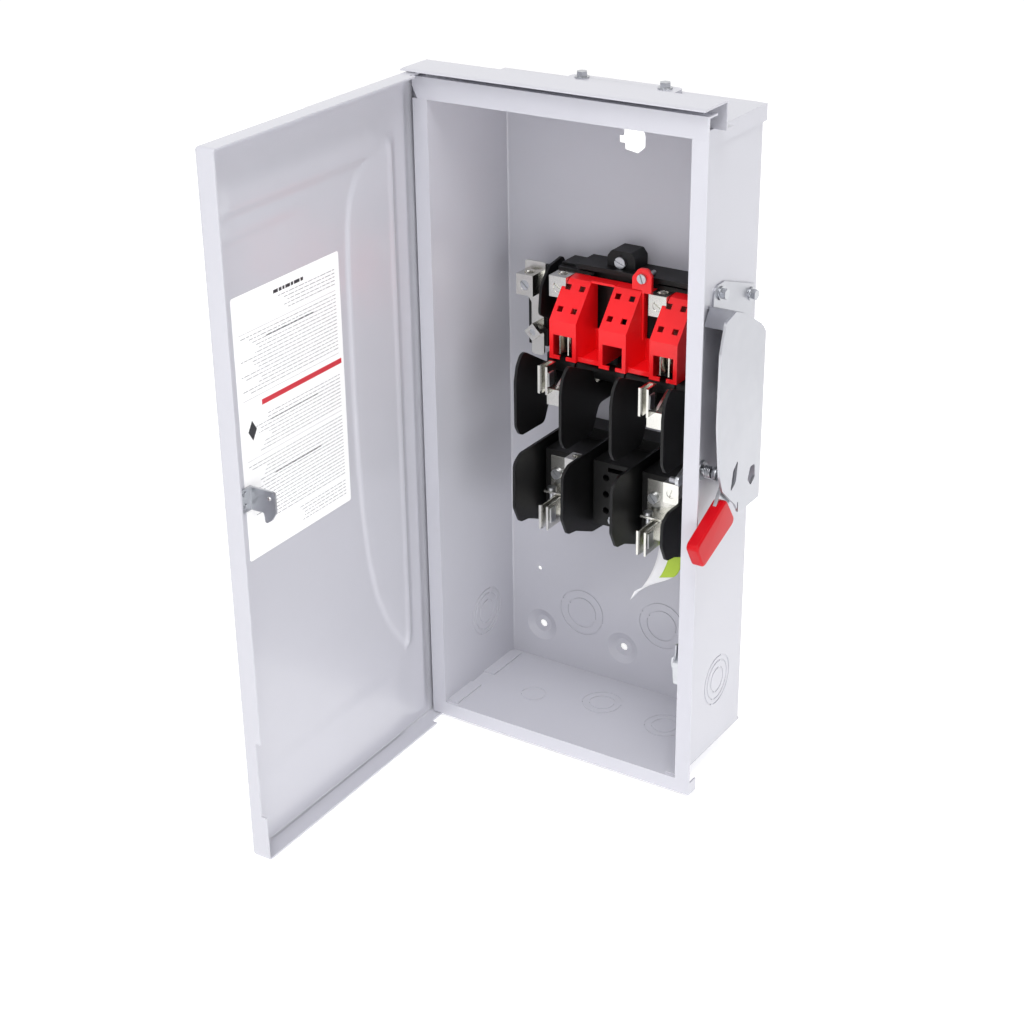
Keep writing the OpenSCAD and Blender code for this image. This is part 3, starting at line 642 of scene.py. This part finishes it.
    def rim_section(self, depth: float) -> list[tuple[float, float]]:
        """Section of a folded rim.

        Args:
            depth: How far the rim stands back from the face.

        Returns:
            Points as distance in from the edge and depth from the face.
        """
        fold, inner = self.fold, self.fold - self.sheet
        outward, back = arc(0, QUARTER, ARC_STEPS), arc(QUARTER, 0, ARC_STEPS)
        outer_arc = [(fold - fold * math.sin(a), fold - fold * math.cos(a)) for a in outward]
        inner_arc = [(fold - inner * math.sin(a), fold - inner * math.cos(a)) for a in back]
        return [*outer_arc, (0.0, depth), (self.sheet, depth), *inner_arc]

    def rim_piece(
        self,
        grid: bmesh.types.BMesh,
        depth: float,
        ends: tuple[float, float],
        place: Callable[[float, float, float], Vector],
    ) -> None:
        """Sweep one rim between its two ends.

        Args:
            grid: Mesh that takes the rim.
            depth: How far the rim stands back from the face.
            ends: Start and end along the edge.
            place: Gives a point from inset, depth and distance along the edge.
        """
        section = self.rim_section(depth)
        capped_strip(grid, [[place(a, d, s) for a, d in section] for s in ends])

    def on_free_edge(self, inset: float, depth: float, along: float) -> Vector:
        """Point in the rim of the free edge."""
        return self.space.at(self.right - inset, self.face + depth, along)

    def on_hinge_edge(self, inset: float, depth: float, along: float) -> Vector:
        """Point in the rim of the hinge edge."""
        return self.space.at(self.left + inset, self.face + depth, along)

    def on_head(self, inset: float, depth: float, along: float) -> Vector:
        """Point in the rim of the head."""
        return self.space.at(along, self.face + depth, self.high - inset)

    def on_foot(self, inset: float, depth: float, along: float) -> Vector:
        """Point in the rim of the foot."""
        return self.space.at(along, self.face + depth, self.low + inset)

    def build_pan(self, grid: bmesh.types.BMesh) -> None:
        """Fill a mesh with the pressed panel and its four rims."""
        front, back = self.field_rows(False), self.field_rows(True)
        quad_strip(grid, front)
        quad_strip(grid, back)
        for end in (0, -1):
            quad_strip(grid, [[f, b] for f, b in zip(front[end], back[end])])
            quad_strip(grid, [[f[end], b[end]] for f, b in zip(front, back)])
        low, high = self.low + self.fold, self.high - self.fold
        left, right = self.left + self.fold, self.right - self.fold
        notch_low, notch_high = self.notch
        self.rim_piece(grid, self.rim, (low, notch_low), self.on_free_edge)
        self.rim_piece(grid, self.rim - self.notch_depth, self.notch, self.on_free_edge)
        self.rim_piece(grid, self.rim, (notch_high, high), self.on_free_edge)
        self.rim_piece(grid, self.hinge_rim, (low, high), self.on_hinge_edge)
        for place in (self.on_head, self.on_foot):
            self.rim_piece(grid, self.hinge_rim, (left, self.hinge_side), place)
            self.rim_piece(grid, self.rim, (self.hinge_side, right), place)
        for z, rise in ((low, -1), (high, 1)):
            self.corner(grid, left, -1, z, rise, self.hinge_rim)
            self.corner(grid, right, 1, z, rise, self.rim)

    def corner(self, grid: bmesh.types.BMesh, u: float, side: int, z: float, rise: int, depth: float) -> None:
        """Close one corner of the pan with a rounded quarter, its radius equal to the fold.

        Args:
            grid: Mesh that takes the corner.
            u: Centre of the corner's arc along the door.
            side: -1 at the hinge and 1 at the free edge.
            z: Centre of the arc in height.
            rise: -1 at the foot and 1 at the head.
            depth: Depth of the rim there.
        """
        rows = []
        for inset, far in self.rim_section(depth):
            reach, level = self.fold - inset, self.face + far
            rows.append(
                [
                    self.space.at(u + side * reach * math.cos(a), level, z + rise * reach * math.sin(a))
                    for a in arc(0, QUARTER, ARC_STEPS)
                ]
            )
        rows.append(rows[0])
        quad_strip(grid, rows)

    def build(self) -> None:
        """Make the pan in place of the plain CAD one."""
        pan = mesh_piece("door_pan", self.build_pan, POWDER_PAINT, "door")
        weld(pan, PAN_WELD)
        smooth(pan, self.corner_angle)
        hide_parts("door_panel")


@dataclass
class Label:
    """Instruction label on the door, printed with plain ruled marks only."""

    space: DoorSpace
    low: float
    width: float = 129 * MM
    height: float = 209 * MM
    start: float = 106 * MM
    face: float = -5.5 * MM
    skins: tuple[float, ...] = mm(0.05, 0.3)
    ink_lift: float = 0.36 * MM
    mark_lift: float = 0.37 * MM
    radius: float = 2.0 * MM
    corner_steps: int = 4
    seed: int = 7
    dash: tuple[float, float] = (2, 7)
    shortest: float = 1 * MM
    gap: float = 1.1 * MM
    margin: float = 6 * MM
    line: float = 2.9 * MM
    thin: float = 0.55 * MM
    ragged: tuple[float, float] = (0.82, 1.0)
    block_spans: tuple[tuple[float, ...], ...] = (
        mm(8, 20), mm(26, 76), mm(84, 112), mm(132, 176), mm(184, 198)
    )
    block_shares: tuple[float, ...] = (0.55, 1.0, 0.9, 1.0, 0.6)
    rules: tuple[float, ...] = mm(128, 179, 80)
    rule_height: float = 0.25 * MM
    heading: tuple[float, ...] = mm(-20, 16, 199, 2.6)
    subheading: tuple[float, ...] = mm(-30, 28, 0.9)
    subheading_rows: tuple[float, ...] = mm(60, 104, 170)
    diamond_place: tuple[float, ...] = mm(14, 103)
    diamond_half: tuple[float, ...] = mm(5, 8)
    stripe: tuple[float, ...] = mm(3, 119, 30, 4.2)

    def point(self, s: float, t: float, lift: float) -> Vector:
        """Point s from the hinge-side edge and t above the foot, lifted off the door."""
        return self.space.at(self.start + s, self.face + lift, self.low + t)

    def bar(self, grid: bmesh.types.BMesh, s: float, t: float, wide: float, tall: float) -> None:
        """Print one bar.

        Args:
            grid: Mesh that takes the bar.
            s: Its low corner, from the hinge-side edge of the label.
            t: Its low corner, above the foot of the label.
            wide: Its width.
            tall: Its height.
        """
        corners = ((s, t), (s + wide, t), (s + wide, t + tall), (s, t + tall))
        grid.faces.new([grid.verts.new(self.point(a, b, self.ink_lift)) for a, b in corners])

    def sheet(self, grid: bmesh.types.BMesh) -> None:
        """Fill a mesh with the label's sheet, its corners slightly rounded."""
        radius, outline = self.radius, []
        right, top = self.width - radius, self.height - radius
        for quarter, (s, t) in enumerate(((right, top), (radius, top), (radius, radius), (right, radius))):
            for a in arc(QUARTER * quarter, QUARTER * (quarter + 1), self.corner_steps):
                outline.append((s + radius * math.cos(a), t + radius * math.sin(a)))
        capped_strip(grid, [[self.point(s, t, lift) for s, t in outline] for lift in self.skins])

    def words(
        self,
        grid: bmesh.types.BMesh,
        span: tuple[float, float],
        t: float,
        tall: float,
        rng: random.Random,
    ) -> None:
        """Print one line of dashes of uneven length.

        Args:
            grid: Mesh that takes the dashes.
            span: Start and end of the line across the label.
            t: Height of the line.
            tall: Height of the dashes.
            rng: Seeded source of lengths.
        """
        s = span[0]
        while s < span[1]:
            wide = min(rng.uniform(*self.dash) * MM, span[1] - s)
            if wide > self.shortest:
                self.bar(grid, s, t, wide, tall)
            s += wide + self.gap

    def fine_print(self, grid: bmesh.types.BMesh) -> None:
        """Fill a mesh with the thin grey lines of the label."""
        rng = random.Random(self.seed)
        room = self.width - 2 * self.margin
        for (low, high), share in zip(self.block_spans, self.block_shares):
            t = low
            while t < high:
                stop = self.margin + room * share * rng.uniform(*self.ragged)
                self.words(grid, (self.margin, stop), t, self.thin, rng)
                t += self.line
        for t in self.rules:
            self.bar(grid, self.margin, t, room, self.rule_height)

    def heavy_print(self, grid: bmesh.types.BMesh) -> None:
        """Fill a mesh with the few dark marks: heading dashes and a plain diamond."""
        rng = random.Random(self.seed + 1)
        middle = self.width / 2
        start, stop, height, tall = self.heading
        self.words(grid, (middle + start, middle + stop), height, tall, rng)
        start, stop, tall = self.subheading
        for t in self.subheading_rows:
            self.words(grid, (middle + start, middle + stop), t, tall, rng)
        from_edge, height = self.diamond_place
        wide, tall = self.diamond_half
        places = [(self.width - from_edge + a * wide, height + b * tall) for a, b in DIAMOND]
        grid.faces.new([grid.verts.new(self.point(s, t, self.mark_lift)) for s, t in places])

    def red_bar(self, grid: bmesh.types.BMesh) -> None:
        """Fill a mesh with the one red stripe."""
        start, height, short, tall = self.stripe
        self.bar(grid, start, height, self.width - short, tall)

    def build(self) -> None:
        """Make the sheet and its three inks."""
        sheet = mesh_piece("label_sheet", self.sheet, LABEL_PAPER, "door")
        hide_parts("door_label")
        mesh_piece("label_fine_print", self.fine_print, GREY_INK, "door")
        mesh_piece("label_heavy_print", self.heavy_print, BLACK_INK, "door")
        mesh_piece("label_red_bar", self.red_bar, RED_INK, "door")


# ---------------------------------------------------------------- springs, grip, catch, tags


@dataclass
class CoilSpring:
    """Round-wire spring wound about a line along X."""

    name: str
    stands_for: str
    body: str
    start: Vector
    length: float
    coil_r: float
    wire_r: float
    turns: float
    per_turn: int = 28
    sides: int = 10

    def build_wire(self, grid: bmesh.types.BMesh) -> None:
        """Fill a mesh with the wound wire."""
        rings = []
        total = int(self.turns * self.per_turn)
        for i in range(total + 1):
            a = FULL_TURN * i / self.per_turn
            radial = Vector((0, math.cos(a), math.sin(a)))
            centre = self.start + radial * self.coil_r + Vector((self.length * i / total, 0, 0))
            rings.append(
                [
                    centre + self.wire_r * (radial * math.cos(b) + Vector((math.sin(b), 0, 0)))
                    for b in (FULL_TURN * k / self.sides for k in range(self.sides))
                ]
            )
        capped_strip(grid, rings)

    def build(self) -> None:
        """Make the spring in place of its plain CAD rings."""
        spring = mesh_piece(self.name, self.build_wire, ZINC_PLATE, self.body)
        smooth(spring)
        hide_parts(self.stands_for)


@dataclass
class Grip:
    """Moulded paddle on the end of the lever, flat on its faces and well rounded at its edges."""

    corners: tuple[tuple[float, float], ...]
    inner_x: float
    outer_x: float
    radius: float = 4.0 * MM
    edge: float = 2.0 * MM
    corner_angle: float = 50.0

    def outline(self, inset: float) -> list[tuple[float, float]]:
        """Rounded outline of the paddle.

        Args:
            inset: Distance that the outline is moved inward.

        Returns:
            Points as Y and Z.
        """
        points = [Vector(c) for c in self.corners]
        result = []
        count = len(points)
        for i, p in enumerate(points):
            a = (points[i - 1] - p).normalized()
            b = (points[(i + 1) % count] - p).normalized()
            half = a.angle(b) / 2
            inner = p + (a + b).normalized() * (inset / math.sin(half))
            reach = self.radius / math.tan(half)
            start, stop = inner + a * reach, inner + b * reach
            centre = inner + (a + b).normalized() * (self.radius / math.sin(half))
            for k in range(ARC_STEPS + 1):
                blend = start.lerp(stop, k / ARC_STEPS)
                result.append(tuple(centre + (blend - centre).normalized() * self.radius))
        return result

    def build_body(self, grid: bmesh.types.BMesh) -> None:
        """Fill a mesh with the paddle: flat faces and rounded edges."""
        layers = []
        for a in arc(0, QUARTER, ARC_STEPS):
            layers.append((self.inner_x + self.edge * (1 - math.cos(a)), self.edge * (1 - math.sin(a))))
        for a in arc(0, QUARTER, ARC_STEPS):
            layers.append((self.outer_x - self.edge * (1 - math.sin(a)), self.edge * (1 - math.cos(a))))
        capped_strip(grid, [[Vector((x, y, z)) for y, z in self.outline(inset)] for x, inset in layers])

    def build(self) -> None:
        """Make the grip in place of the stepped CAD one."""
        grip = mesh_piece("moulded_grip", self.build_body, RED_NYLON, "handle")
        smooth(grip, self.corner_angle)
        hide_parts("handle_grip")


@dataclass
class CatchTongue:
    """Strip of steel with a twist in it, which turns on its rivet."""

    foot: Vector
    head: Vector
    width: float = 7.6 * MM
    thick: float = 1.6 * MM
    twist: float = math.radians(80)
    twist_span: tuple[float, float] = (0.35, 0.8)
    end_share: float = 0.62
    end_shift: float = 0.12
    steps: int = 22
    edge: float = 0.35 * MM

    def build_strip(self, grid: bmesh.types.BMesh) -> None:
        """Fill a mesh with the twisted strip."""
        rows = []
        for i in range(self.steps + 1):
            t = i / self.steps
            a = self.twist * step(t, *self.twist_span)
            side = Vector((math.cos(a), math.sin(a), 0))
            depth = Vector((-math.sin(a), math.cos(a), 0))
            swell = math.sin(math.pi * min(1.0, t + self.end_shift))
            half = self.width / 2 * (self.end_share + (1 - self.end_share) * swell)
            middle = self.foot.lerp(self.head, t)
            rows.append([middle + side * half * p + depth * self.thick / 2 * q for p, q in SQUARE])
        capped_strip(grid, rows)

    def build(self) -> None:
        """Make the tongue in place of the plain CAD one."""
        tongue = mesh_piece("twisted_tongue", self.build_strip, ZINC_PLATE, "catch")
        round_edges(tongue, self.edge)
        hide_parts("catch_tongue")


@dataclass
class HangingTag:
    """Card tag that hangs below the right load terminal and curls at its corner."""

    top: Vector
    width: float = 24 * MM
    drop: float = 60 * MM
    thick: float = 0.5 * MM
    curl_power: float = 2.2
    swing: float = 22 * MM
    forward: float = 9 * MM
    lean: float = 5 * MM
    slant: float = 9 * MM
    taper: float = 0.85
    taper_span: tuple[float, float] = (0.55, 1.0)
    lime_lift: float = 0.55 * MM
    lime_across: tuple[float, float] = (0.42, 1.0)
    lime_down: tuple[float, float] = (0.02, 0.62)
    rows: int = 24
    columns: int = 8

    def point(self, s: float, t: float, lift: float) -> Vector:
        """Point on the curled strip.

        Args:
            s: Share of the way across.
            t: Share of the way down.
            lift: Distance off its face.

        Returns:
            The point in the part's frame.
        """
        curl = t**self.curl_power
        share = 1 - self.taper * step(t, *self.taper_span)
        x = self.top.x + s * self.width * share - self.swing * curl
        y = self.top.y - self.forward * curl - lift + self.lean * s * (1 - t)
        z = self.top.z - self.drop * t + self.slant * s * t
        return Vector((x, y, z))

    def strip(
        self, lift: float, span: tuple[float, float], drop: tuple[float, float]
    ) -> Callable[[bmesh.types.BMesh], None]:
        """Make a builder for one part of the strip.

        Args:
            lift: Distance in front of the card's middle.
            span: Part of the width that it covers.
            drop: Part of the length that it covers.

        Returns:
            A function that fills a mesh.
        """

        def fill(grid: bmesh.types.BMesh) -> None:
            """Fill the mesh with two skins and their rim."""
            across = [span[0] + (span[1] - span[0]) * k / self.columns for k in range(self.columns + 1)]
            made = []
            for i in range(self.rows + 1):
                t = drop[0] + (drop[1] - drop[0]) * i / self.rows
                front = [self.point(s, t, lift + self.thick) for s in across]
                back = [self.point(s, t, lift) for s in reversed(across)]
                made.append(front + back)
            capped_strip(grid, made)

        return fill

    def build(self) -> None:
        """Make the white strip and its lime printed side."""
        whole = (0.0, 1.0)
        card = mesh_piece("curled_tag", self.strip(0.0, whole, whole), TAG_CARD, "enclosure")
        smooth(card)
        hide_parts("tag_card")
        printed = self.strip(self.lime_lift, self.lime_across, self.lime_down)
        lime = mesh_piece("lime_side", printed, LIME_CARD, "enclosure")
        smooth(lime)


# ---------------------------------------------------------------- CAD nodes


SLOT_FINISHES: dict[str, Finish] = {
    "enclosure_paint": POWDER_PAINT,
    "shield_plastic": RED_POLYESTER,
    "grip_plastic": RED_NYLON,
    "black_moulding": BLACK_PHENOLIC,
    "tinned_metal": TIN_PLATE,
    "zinc_steel": ZINC_PLATE,
    "contact_copper": SILVER_PLATE,
    "label_paper": LABEL_PAPER,
    "tag_paper": TAG_CARD,
    "ground_paper": TAG_CARD,
}
NODE_FINISHES: dict[str, Finish] = {"handle_guard": GALVANISED}
EDGE_WIDTHS: dict[str, float] = {
    "enclosure_paint": 0.18 * MM,
    "shield_plastic": 0.4 * MM,
    "black_moulding": 0.4 * MM,
    "tinned_metal": 0.3 * MM,
    "zinc_steel": 0.3 * MM,
    "contact_copper": 0.2 * MM,
}


class CadFinishes:
    """Finishes and broken edges of the pieces that keep their CAD shape."""

    def build(self) -> None:
        """Dress every CAD node, and break the edges of those whose slot has an edge width."""
        slot_of = {part["node"]: part["material_slot"] for part in frame["record"]["subparts"]}
        for name, piece in frame["nodes"].items():
            slot = slot_of[name]
            PALETTE.dress(piece, NODE_FINISHES.get(name, SLOT_FINISHES[slot]))
            if slot in EDGE_WIDTHS:
                round_edges(piece, EDGE_WIDTHS[slot])


# ---------------------------------------------------------------- stage


@dataclass(frozen=True)
class SoftLight:
    """Square area light aimed at the middle of the object."""

    name: str
    place: tuple[float, float, float]
    size: float
    power: float


@dataclass(frozen=True)
class StageWhite:
    """Matt white of the floor or the cloth, with some light of its own."""

    name: str
    colour: str
    glow: float
    roughness: float = 0.5

    def build(self) -> bpy.types.Material:
        """Make the node material.

        Returns:
            The finished material.
        """
        material = bpy.data.materials.new(self.name)
        material.use_nodes = True
        shader = material.node_tree.nodes["Principled BSDF"]
        shader.inputs["Base Color"].default_value = srgb(self.colour)
        shader.inputs["Roughness"].default_value = self.roughness
        shader.inputs["Emission Color"].default_value = srgb("#FFFFFF")
        shader.inputs["Emission Strength"].default_value = self.glow
        return material


# Matt paper floor: near-white, with the faint glow of a lit sweep.
SWEEP = StageWhite("white_sweep", "#FCFCFC", 0.42, 0.9)
# Cloth lit from behind: pure white at every angle.
LIT_CLOTH = StageWhite("lit_white_cloth", "#000000", 1.0)


@dataclass
class Stage:
    """Pale floor, soft lights and the camera."""

    eye: Vector = field(default_factory=lambda: Vector((0.7617, -1.3514, 0.8773)))
    azimuth: float = math.radians(33.1)
    elevation: float = math.radians(25.6)
    roll: float = math.radians(-0.8)
    focal_mm: float = 69.2
    sensor_mm: float = 36.0
    floor_half: float = 6.0
    cloth_far: float = 2.2
    cloth_half: float = 1.9
    room_light: float = 0.5
    target: Vector = field(default_factory=lambda: Vector((0, -0.1, 0.22)))
    lights: tuple[SoftLight, ...] = (
        SoftLight("key", (-0.4, -2.4, 1.7), 1.6, 15),
        SoftLight("side", (2.2, -1.2, 0.1), 1.5, 23),
        SoftLight("top", (0.5, -1.1, 2.6), 1.3, 43),
    )

    def camera(self) -> None:
        """Place the camera at the viewing angle of a catalogue picture."""
        a, e, r = self.azimuth, self.elevation, self.roll
        ahead = Vector((-math.sin(a) * math.cos(e), math.cos(a) * math.cos(e), -math.sin(e)))
        right = Vector((math.cos(a), math.sin(a), 0))
        up = right.cross(ahead)
        side = right * math.cos(r) + up * math.sin(r)
        head = up * math.cos(r) - right * math.sin(r)
        data = bpy.data.cameras.new("camera")
        data.lens = self.focal_mm
        data.sensor_width = self.sensor_mm
        camera = bpy.data.objects.new("camera", data)
        turn = Matrix((side, head, -ahead)).transposed().to_4x4()
        camera.matrix_world = Matrix.Translation(self.eye) @ turn
        bpy.context.scene.collection.objects.link(camera)
        bpy.context.scene.camera = camera

    def shine(self, light: SoftLight) -> None:
        """Add one soft light.

        Args:
            light: The light wanted, its power in watts.
        """
        data = bpy.data.lights.new(light.name, "AREA")
        data.size = light.size
        data.energy = light.power
        lamp = bpy.data.objects.new(light.name, data)
        lamp.location = Vector(light.place)
        lamp.rotation_euler = (self.target - lamp.location).to_track_quat("-Z", "Y").to_euler()
        bpy.context.scene.collection.objects.link(lamp)

    def sheet(self, name: str, corners: Sequence[Sequence[float]], white: StageWhite) -> bpy.types.Object:
        """Add one flat sheet that isn't part of the object.

        Args:
            name: Name of the sheet.
            corners: Its corners in order.
            white: Its finish.

        Returns:
            The new object.
        """
        grid = bmesh.new()
        grid.faces.new([grid.verts.new(corner) for corner in corners])
        mesh = bpy.data.meshes.new(name)
        grid.to_mesh(mesh)
        grid.free()
        mesh.materials.append(white.build())
        sheet = bpy.data.objects.new(name, mesh)
        bpy.context.scene.collection.objects.link(sheet)
        return sheet

    def floor(self, height: float) -> None:
        """Lay the floor at a height."""
        half = self.floor_half
        corners = ((-half, -half), (half, -half), (half, half), (-half, half))
        self.sheet("floor", [(x, y, height) for x, y in corners], SWEEP)

    def backdrop(self, height: float) -> None:
        """Hang a lit white cloth behind the object, well clear of it, its foot at a height."""
        half, top = self.cloth_half, height + self.cloth_half
        corners = ((-half, height), (half, height), (half, top), (-half, top))
        cloth = self.sheet("cloth", [(x, self.cloth_far, z) for x, z in corners], LIT_CLOTH)
        cloth.rotation_euler = (0, 0, self.azimuth)

    def build(self) -> None:
        """Set up camera, lights, floor and surroundings."""
        scene = bpy.context.scene
        self.camera()
        for light in self.lights:
            self.shine(light)
        world = bpy.data.worlds.new("white_room")
        world.use_nodes = True
        sky = world.node_tree.nodes["Background"]
        sky.inputs["Color"].default_value = srgb("#FFFFFF")
        sky.inputs["Strength"].default_value = self.room_light
        scene.world = world
        scene.view_settings.view_transform = "Standard"
        self.floor(CAD_BOX[0][2])
        self.backdrop(CAD_BOX[0][2])


# ---------------------------------------------------------------- assembly


DOOR_ANGLE = math.radians(89)
GRIP_CORNERS = (mm(-94, 219), mm(-77, 194), mm(-130, 174), mm(-143, 196))
TONGUE_SET = Vector(mm(4, 2, 0))
CARD_SET = Vector(mm(14, -12, 0))


def joint_place(name: str) -> Vector:
    """Position of a joint of the frame."""
    joint = next(j for j in frame["joints"] if j["name"] == name)
    return Vector(joint["pos_m"])


def coil_in_place(stands_for: str, joint: str, coil_r: float, wire_r: float, turns: float) -> CoilSpring:
    """Wind a spring between the ends of its CAD node and round the axis of a joint.

    Args:
        stands_for: CAD node that the spring replaces.
        joint: Joint whose axis the spring is wound round.
        coil_r: Radius of the coil at the middle of the wire.
        wire_r: Radius of the wire.
        turns: Number of turns.

    Returns:
        The spring, ready to build.
    """
    low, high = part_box(stands_for)
    axis = joint_place(joint)
    start = Vector((low[0] + wire_r, axis.y, axis.z))
    length = high[0] - low[0] - 2 * wire_r
    return CoilSpring(f"wound_{stands_for}", stands_for, "enclosure", start, length, coil_r, wire_r, turns)


def main() -> None:
    """Build every sub-assembly in order and report it."""
    logging.basicConfig(level=logging.INFO, format="%(name)s: %(message)s")
    door_low, door_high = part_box("door_panel")
    label_low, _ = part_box("door_label")
    grip_low, grip_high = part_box("handle_grip")
    tongue_low, tongue_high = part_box("catch_tongue")
    card_low, card_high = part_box("tag_card")
    space = DoorSpace(joint_place("door_hinge"), DOOR_ANGLE)
    foot = Vector(tongue_low) + TONGUE_SET
    head = Vector((foot.x, foot.y, tongue_high[2]))
    parts = [
        Stage(),
        CadFinishes(),
        Door(space, door_low[2], door_high[2]),
        Label(space, label_low[2]),
        coil_in_place("operating_spring", "handle_throw", 11 * MM, 1.0 * MM, 4),
        coil_in_place("interlock_spring", "interlock_throw", 4.4 * MM, 0.7 * MM, 4),
        Grip(GRIP_CORNERS, grip_low[0], grip_high[0]),
        CatchTongue(foot, head),
        HangingTag(Vector((card_low[0], card_high[1], card_high[2])) + CARD_SET),
    ]
    for part in parts:
        part.build()
        LOG.info("built %s", type(part).__name__)


if __name__ == "__main__":
    main()
